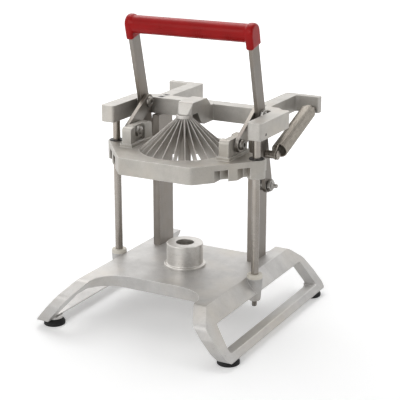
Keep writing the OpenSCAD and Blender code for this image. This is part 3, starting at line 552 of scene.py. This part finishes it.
def link_stubs():
    """Outer halves of the upper link bolts, in the arms, with their nuts."""
    tip = corners("link_stub_screws")[1].x
    rows = [(ARM_IN, 0.3), (ARM_IN, LINK_BOLT_R), (ARM_OUT, LINK_BOLT_R)]
    rows += thread_rows(ARM_OUT + 0.1, tip - 0.9, LINK_BOLT_R, LINK_PITCH)
    rows += [(tip, 3.1), (tip, 0.3)]
    forms = on_both(HIGH_PIN, rows) + [link_nut(on_x(*HIGH_PIN, s), ARM_OUT, 0.35) for s in SIDES]
    place(joined("link_stub_pair", forms, ZINC), "handle", "fastener", "link_stub_screws")


def link_low_bolts():
    """Lower link bolts: head outside, nut in the link block's channel."""
    seat = corners("link_low_bolts")[1].x - HEAD_H
    nut_out = corners("link_low_nuts")[1].x
    nut_in = nut_out - LINK_NUT_H
    tip = nut_in - 2.0
    rows = [(tip, 0.3), (tip, 3.1), (tip + 0.8, 3.6)]
    rows += thread_rows(tip + 0.9, nut_out - 0.4, LINK_BOLT_R, LINK_PITCH)
    rows += [(nut_out, LINK_BOLT_R), (seat, LINK_BOLT_R)]
    rows += domed_head(seat, (6.3, 6.5, 6.2, 5.5, 4.4, 3.4))
    bolts = joined("link_low_bolt_pair", on_both(LOW_PIN, rows), BOLT)
    place(bolts, "carriage", "fastener", "link_low_bolts")
    forms = [link_nut(on_x(*LOW_PIN, s), nut_in, 0.1) for s in SIDES]
    place(joined("link_low_nut_pair", forms, ZINC), "carriage", "fastener", "link_low_nuts")


# Rod nuts and set screws
def rod_nuts():
    """Nuts sunk in the foot of the base bosses, and the rods' thin ends."""
    low, high = (corner.z for corner in corners("rod_nuts"))
    nut_flat, nut_bore, stub_r, pitch = 4.67, 2.8, 3.35, 1.0
    stub, top = low - 8.8, low - 0.2
    rows = [(stub, 0.3), (stub, 2.4)] + thread_rows(stub + 0.5, top, stub_r, pitch) + [(top, 0.3)]
    forms = [nut(on_z(ROD.x * s, ROD.y), low, high, nut_flat, nut_bore) for s in SIDES]
    forms += [Form(on_z(ROD.x * s, ROD.y)).stack(rows) for s in SIDES]
    place(joined("rod_nut_pair", forms, BOLT), "frame", "fastener", "rod_nuts")


def rod_set_screws():
    at, face = middle("rod_set_screws"), corners("rod_set_screws")[1].x
    length, r, socket_flat, socket_deep = 6.3, 2.0, 1.0, 1.2
    inner = face - length
    rows = [(inner, 0.3), (inner, r - 0.6), (inner + 0.6, r), (face - 0.3, r), (face, r - 0.3)]
    rows += socket(face, socket_flat, socket_deep)
    screws = joined("rod_set_screw_pair", on_both((at.y, at.z), rows, 24), DARK)
    place(screws, "frame", "fastener", "rod_set_screws")


# Feet
def foot(end, side):
    """Rubber foot that tapers towards its top, with the screw's recess."""
    node = "foot_" + end + "_" + side
    at, top = middle(node), corners(node)[1].z
    bore, recess_r, recess = 2.9, 5.3, 4.0
    foot_r, top_r = 13.5, 10.2
    rows = [(recess, bore), (recess, recess_r), (0.0, recess_r), (0.0, foot_r - 0.6)]
    rows += [(0.4, foot_r - 0.1), (3.2, foot_r), (4.0, foot_r - 0.3)]
    rows += [(top - 0.9, top_r + 0.4), (top, top_r), (top, bore)]
    form = Form(on_z(at.x, at.y)).stack(rows, 64, loop=True)
    place(form.mesh("foot_pad_" + end + "_" + side, RUBBER), "frame", "foot", node)


# Inner and outer end, along X, of the mouths of the carriage's side pockets
POCKETS = ((68.4, 80.2), (87.4, 98.6))
# A point on the line of their back walls, outwards and in front of the rods,
# and how far the line runs back for each millimetre outwards
WALL_X, WALL_FRONT, WALL_SLOPE = 42.3, 67.8, 1.178
# Rear end of the prisms behind the walls, behind the rods
WALL_REAR = 28.0


def pocket_backs(side):
    """Prisms that close the carriage's pockets behind their mouths."""
    heights = (CARRIAGE_TOP - 20.7, CARRIAGE_TOP - 6.8)
    forms = []
    for x0, x1 in POCKETS:
        wall = [(x, ROD.y + (x - WALL_X) * WALL_SLOPE - WALL_FRONT) for x in (x0, x1)]
        plan = wall + [(x1, ROD.y + WALL_REAR), (x0, ROD.y + WALL_REAR)]
        form = Form()
        rings = [form.ring([(x * side, y, z) for x, y in plan[::side]]) for z in heights]
        forms.append(form.close(rings))
    return forms


# Screws of the columns and of the cup
def column_top_screws():
    low, high = corners("column_top_screws")
    head_r, shank_r, head_h = 5.0, 3.0, 6.0
    socket_flat, socket_deep, socket_turn = 2.5, 2.6, 0.4
    seat, top = high.z - head_h, high.z
    rows = [(low.z, 0.3), (low.z, shank_r), (seat, shank_r), (seat, head_r - 0.1)]
    rows += [(top - 0.6, head_r - 0.05), (top, head_r - 0.6)]
    rows += socket(top, socket_flat, socket_deep, socket_turn)
    front, rear = low.y + head_r, high.y - head_r
    forms = [Form(on_z(COLUMN.x * s, y)).stack(rows) for s in SIDES for y in (front, rear)]
    place(joined("column_top_screw_set", forms, DARK), "frame", "fastener", "column_top_screws")


LOW_HEAD_FLAT, LOW_HEAD_H, LOW_SHANK_R = 4.33, 4.95, 3.0


def low_screw(x, y, low, end_rows):
    """Hexagon screw that comes up from below the deck."""
    seat = low + LOW_HEAD_H
    rows = [(low, 0.3), (low, 3.9)]
    rows += hex_rows(low, seat, LOW_HEAD_FLAT)[1:-1]
    rows += [(seat, LOW_HEAD_FLAT), (seat, LOW_SHANK_R)]
    return Form(on_z(x, y)).stack(rows + end_rows)


def low_screws():
    low, high = corners("column_base_screws")
    end_rows = [(high.z, LOW_SHANK_R), (high.z, 0.3)]
    front, rear = low.y + LOW_HEAD_FLAT, high.y - LOW_HEAD_FLAT
    forms = [low_screw(COLUMN.x * s, y, low.z, end_rows) for s in SIDES for y in (front, rear)]
    place(joined("column_base_screw_set", forms, ZINC), "frame", "fastener", "column_base_screws")
    low, high = corners("cup_screw")
    end_rows = [(high.z - 1.0, LOW_SHANK_R), (high.z, 2.4), (high.z, 0.3)]
    form = low_screw(0, ROD.y, low.z, end_rows)
    place(form.mesh("cup_bolt", ZINC), "frame", "fastener", "cup_screw")


pivots()
for side, tag in SIDES.items():
    link_pin_head(side, tag)
link_stubs()
link_low_bolts()
rod_nuts()
rod_set_screws()
for tag in SIDES.values():
    for end in ("front", "rear"):
        foot(end, tag)
place(joined("pocket_back_pair", pocket_backs(1) + pocket_backs(-1), DULL_CAST), "carriage", "cast")
column_top_screws()
low_screws()

# Return spring and its post
# Middle of the post's groove, along X
GROOVE_X = 98.8
POST_AT = Vector((GROOVE_X, middle("spring_post").y, middle("spring_post").z))
# The staple's front run: half its wire behind the front of its box
staple_low, staple_high = corners("spring_anchor")
STAPLE_AT = middle("spring_anchor")
STAPLE_AT.y = staple_low.y + (staple_high.z - staple_low.z) / 2
# Thickness of the wire, and radii to the middle of the wire
WIRE_D, COIL_R, POST_HOOK_R, YOKE_HOOK_R = 2.2, 9.1, 5.0, 3.1
TURNS = 39


def wire_path(length):
    """(along, out, side) of the wire: hook on the post, turns, hook on the yoke."""
    start, end = POST_HOOK_R + WIRE_D * 2, length - YOKE_HOOK_R - WIRE_D * 2
    hook_angles = [math.radians(t) for t in range(-135, 91, 9)]
    per_turn = 28
    path = [(-POST_HOOK_R * math.cos(a), POST_HOOK_R * math.sin(a), 0.0) for a in hook_angles]
    for i in range(TURNS * per_turn + 1):
        a = math.radians(90 + 360 * i / per_turn)
        along = start + (end - start) * i / (TURNS * per_turn)
        path.append((along, COIL_R * math.sin(a), COIL_R * math.cos(a)))
    return path + [
        (length + YOKE_HOOK_R * math.cos(a), YOKE_HOOK_R * math.sin(a), 0.0)
        for a in reversed(hook_angles)
    ]


def swept(points, across, radius):
    """A round tube along the points, whose first side lies across them."""
    form = Form()
    rings = []
    sides = 10
    turns = [2 * math.pi * j / sides for j in range(sides)]
    for i, point in enumerate(points):
        ahead = (points[min(i + 1, len(points) - 1)] - points[max(i - 1, 0)]).normalized()
        across = (across - ahead * across.dot(ahead)).normalized()
        up = ahead.cross(across)
        ring = [point + (across * math.cos(k) + up * math.sin(k)) * radius for k in turns]
        rings.append(form.ring(ring))
    return form.close(rings)


def wound_wire():
    """Hook, close turns and hook of the return spring, as one swept tube."""
    run = STAPLE_AT - POST_AT
    along = run.normalized()
    side = Vector((1, 0, 0))
    out = side.cross(along)
    points = [POST_AT + along * u + out * v + side * w for u, v, w in wire_path(run.length)]
    return swept(points, side, WIRE_D / 2)


def spring_post():
    """Post with a groove for the spring's hook and a flange at its end."""
    root, face, tip = ARM_IN + 0.1, ARM_OUT + 0.1, GROOVE_X + 3.7
    root_r, post_r, groove_r, flange_r, groove = 4.0, 5.0, 3.8, 5.8, 1.3
    rows = [(root, 0.3), (root, root_r), (face, root_r), (face, post_r - 0.4), (face + 0.4, post_r)]
    rows += [(GROOVE_X - groove - 0.3, post_r), (GROOVE_X - groove, groove_r)]
    rows += [(GROOVE_X + groove, groove_r), (GROOVE_X + groove + 0.2, flange_r - 0.6)]
    rows += [(GROOVE_X + groove + 0.6, flange_r), (tip - 0.7, flange_r), (tip - 0.1, flange_r - 0.6)]
    rows += [(tip, 2.2), (tip - 0.4, 1.6), (tip - 0.4, 0.3)]
    form = Form(on_x(POST_AT.y, POST_AT.z)).stack(rows, 64)
    place(form.mesh("spring_post_turned", POST), "handle", "fastener", "spring_post")


spring = wound_wire().mesh("wound_spring", WIRE, 60.0)
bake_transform(spring)
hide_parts("return_spring")
spring_post()


# Grip
def grip_shell(side):
    """The sleeve's end over one arm: a slab with a round top and eased sides."""
    radius, drop, points = 12.0, 17.6, 20
    arcs = [math.pi * i / points for i in range(points + 1)]
    outline = [(radius * math.cos(a), radius * math.sin(a)) for a in arcs]
    outline += [(-radius, -drop), (radius, -drop)]
    # Distance from the arm's middle, and how full the outline is there
    slices = ((-5.05, 0.86), (-4.0, 0.96), (-2.2, 1.0), (2.2, 1.0), (4.0, 0.96), (5.05, 0.86))
    # How much higher the lower edge would lie where the outline is empty
    lift = 9.0
    at = Matrix.Translation(((ARM_IN + ARM_OUT) / 2 * side, BAR_AT.y, BAR_AT.z))
    form = Form(at @ Matrix.Rotation(LEAN, 4, "X"))
    rings = [
        form.ring([(x, y * full, z * full if z > 0 else z + (1 - full) * lift) for y, z in outline])
        for x, full in slices
    ]
    return form.close(rings)


def grip():
    """Dipped sleeve over the cross bar and the tops of both arms."""
    radius, sag, end, voxel, rounds = 11.3, 0.8, ARM_OUT - 1.2, 0.8, 9
    tube = Form(on_x(BAR_AT.y, BAR_AT.z - sag)).stack([(-end, radius), (end, radius)], 64)
    piece = joined("grip_sleeve", [tube, grip_shell(1), grip_shell(-1)], VINYL)
    bpy.context.view_layer.objects.active = piece
    piece.select_set(True)
    fuse = piece.modifiers.new("fuse", "REMESH")
    fuse.mode = "VOXEL"
    fuse.voxel_size = voxel * MM
    fuse.use_smooth_shade = True
    soften = piece.modifiers.new("soften", "SMOOTH")
    soften.factor = 0.5
    soften.iterations = rounds
    for step in ("fuse", "soften"):
        bpy.ops.object.modifier_apply(modifier=step)
    piece.select_set(False)
    return piece


place(grip(), "handle", "grip", "handle_grip")


# Floor, world, lamps and camera
def floor():
    """Pale ground. The camera sees it whiten with distance. Glossy rays see a painted reflection
    instead:
    a glow with painted shade towards the right and a painted shadow close to the object."""
    size, white = 12.0, (0.93, 0.93, 0.93)
    data = bpy.data.meshes.new("floor")
    plan = [(-size, -size, 0), (size, -size, 0), (size, size, 0), (-size, size, 0)]
    data.from_pydata(plan, [], [(0, 1, 2, 3)])
    made = shown("floor", data)
    material = bpy.data.materials.new("floor_white")
    tree = Tree(material)
    tree.nodes.clear()
    ray = tree.node("ShaderNodeLightPath").outputs
    spot = tree.node("ShaderNodeTexCoord").outputs["Object"]
    away = tree.vector("LENGTH", spot)["Value"]
    level = tree.times(ray["Is Camera Ray"], tree.spread(away, 0.35, 1.8, 0.24, 0.80))
    glow = tree.node("ShaderNodeEmission", {"Strength": level}).outputs[0]
    diffuse = tree.node("ShaderNodeBsdfDiffuse", {"Color": white}).outputs[0]
    both = tree.node("ShaderNodeAddShader", {0: diffuse, 1: glow}).outputs[0]
    across = tree.vector("DOT_PRODUCT", spot, (1.0, 0.15, 0.0))["Value"]
    # Painted shade: the floor that metal sees is brighter on the left and darker towards the right
    painted_side_shade = tree.spread(across, -0.10, 0.45, 1.27, 0.88)
    # Painted shadow: the floor that metal sees is darker close to the object
    painted_shadow_close = tree.spread(away, 0.25, 0.80, 0.70, 1.10)
    # Painted reflection: glossy rays see this glow instead of the lit floor
    painted_reflection = tree.node("ShaderNodeEmission", {"Strength": tree.times(painted_side_shade, painted_shadow_close)}).outputs[0]
    shaders = {0: ray["Is Glossy Ray"], 1: both, 2: painted_reflection}
    choice = tree.node("ShaderNodeMixShader", shaders).outputs[0]
    tree.node("ShaderNodeOutputMaterial", {"Surface": choice})
    data.materials.append(material)


def world():
    """White to the camera, a soft level for matt surfaces, and a room that
    darkens towards the right for metal."""
    soft_level, camera_level = 0.34, 1.0
    made = bpy.data.worlds.new("studio")
    bpy.context.scene.world = made
    tree = Tree(made)
    tree.nodes.clear()
    ray = tree.node("ShaderNodeLightPath").outputs
    where = tree.node("ShaderNodeTexCoord").outputs["Generated"]
    toward = tree.vector("DOT_PRODUCT", where, (0.95, -0.25, -0.10))["Value"]
    room = tree.spread(toward, -0.45, 0.35, 1.12, 0.48)
    level = tree.choose(ray["Is Glossy Ray"], soft_level, room)
    seen = tree.number("MAXIMUM", ray["Is Camera Ray"], ray["Is Transmission Ray"])
    values = {"Color": (1.0, 1.0, 1.0), "Strength": tree.choose(seen, level, camera_level)}
    back = tree.node("ShaderNodeBackground", values).outputs[0]
    tree.node("ShaderNodeOutputWorld", {"Surface": back})


def lamp(name, at, aim, size, power):
    data = bpy.data.lights.new(name, "AREA")
    data.shape = "RECTANGLE"
    data.size, data.size_y = size
    data.energy = power
    made = shown(name, data)
    made.location = at
    made.rotation_euler = (Vector(aim) - Vector(at)).to_track_quat("-Z", "Y").to_euler()


def camera():
    """The photograph's camera, in front of the object's right corner."""
    tilt, turn = math.radians(72.91), math.radians(28.48)
    data = bpy.data.cameras.new("camera")
    data.sensor_width = 36.0
    data.lens = 103.5
    eye = shown("camera", data)
    eye.location = (0.6714, -1.21075, 0.5693)
    eye.rotation_euler = (tilt, 0.0, turn)
    bpy.context.scene.camera = eye


floor()
world()
lamp("key_above", (-0.35, 0.7, 2.0), (0, 0, 0.15), (1.5, 1.5), 15.0)
lamp("key_left", (-1.25, 0.85, 1.35), (0, 0, 0.1), (1.3, 1.3), 6.0)
lamp("rim_right", (0.7, 1.35, 1.0), (0.05, 0, 0.06), (1.1, 0.9), 3.0)
lamp("fill_front", (-0.3, -1.9, 1.1), (0, 0, 0.2), (1.6, 1.2), 14.0)
lamp("fill_right", (1.7, 0.3, 0.9), (0, 0, 0.2), (1.0, 1.2), 4.5)
camera()
bpy.context.scene.view_settings.view_transform = "Standard"

bpy.context.view_layer.update()
